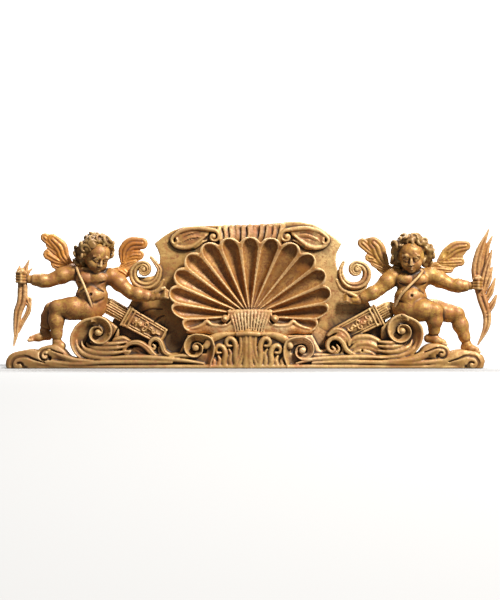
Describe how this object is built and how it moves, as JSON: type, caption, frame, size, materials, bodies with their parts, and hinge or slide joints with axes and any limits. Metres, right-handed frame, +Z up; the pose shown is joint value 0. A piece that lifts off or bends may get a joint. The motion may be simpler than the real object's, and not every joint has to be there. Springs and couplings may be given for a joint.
{
  "type": "carved pediment",
  "caption": "Carved wood pediment with a fluted scallop shell on a scrolled board, flanked by seated winged children who hold palm branches, on a moulded base rail with volutes",
  "frame": {"origin": "the middle of the flat underside of the base rail, halfway between its front and the flat back", "axes": "X runs along the pediment to the viewer's right, Y runs back towards the wall, Z runs up"},
  "size_m": [1.7647, 0.1314, 0.5282],
  "materials": {
    "ground": "carved wood with worn gilding and red ground",
    "shell": "carved wood with worn gilding and red ground",
    "figures": "carved wood with worn gilding and red ground",
    "wings": "carved wood with worn gilding and red ground",
    "palms": "carved wood with worn gilding and red ground"
  },
  "bodies": {
    "root": {"pediment_ground": "ground", "scallop_shell": "shell", "left_putto": "figures", "right_putto": "figures", "left_putto_outer_wing": "wings", "left_putto_inner_wing": "wings", "right_putto_inner_wing": "wings", "right_putto_outer_wing": "wings", "left_palm": "palms", "right_palm": "palms"}
  },
  "joints": []
}
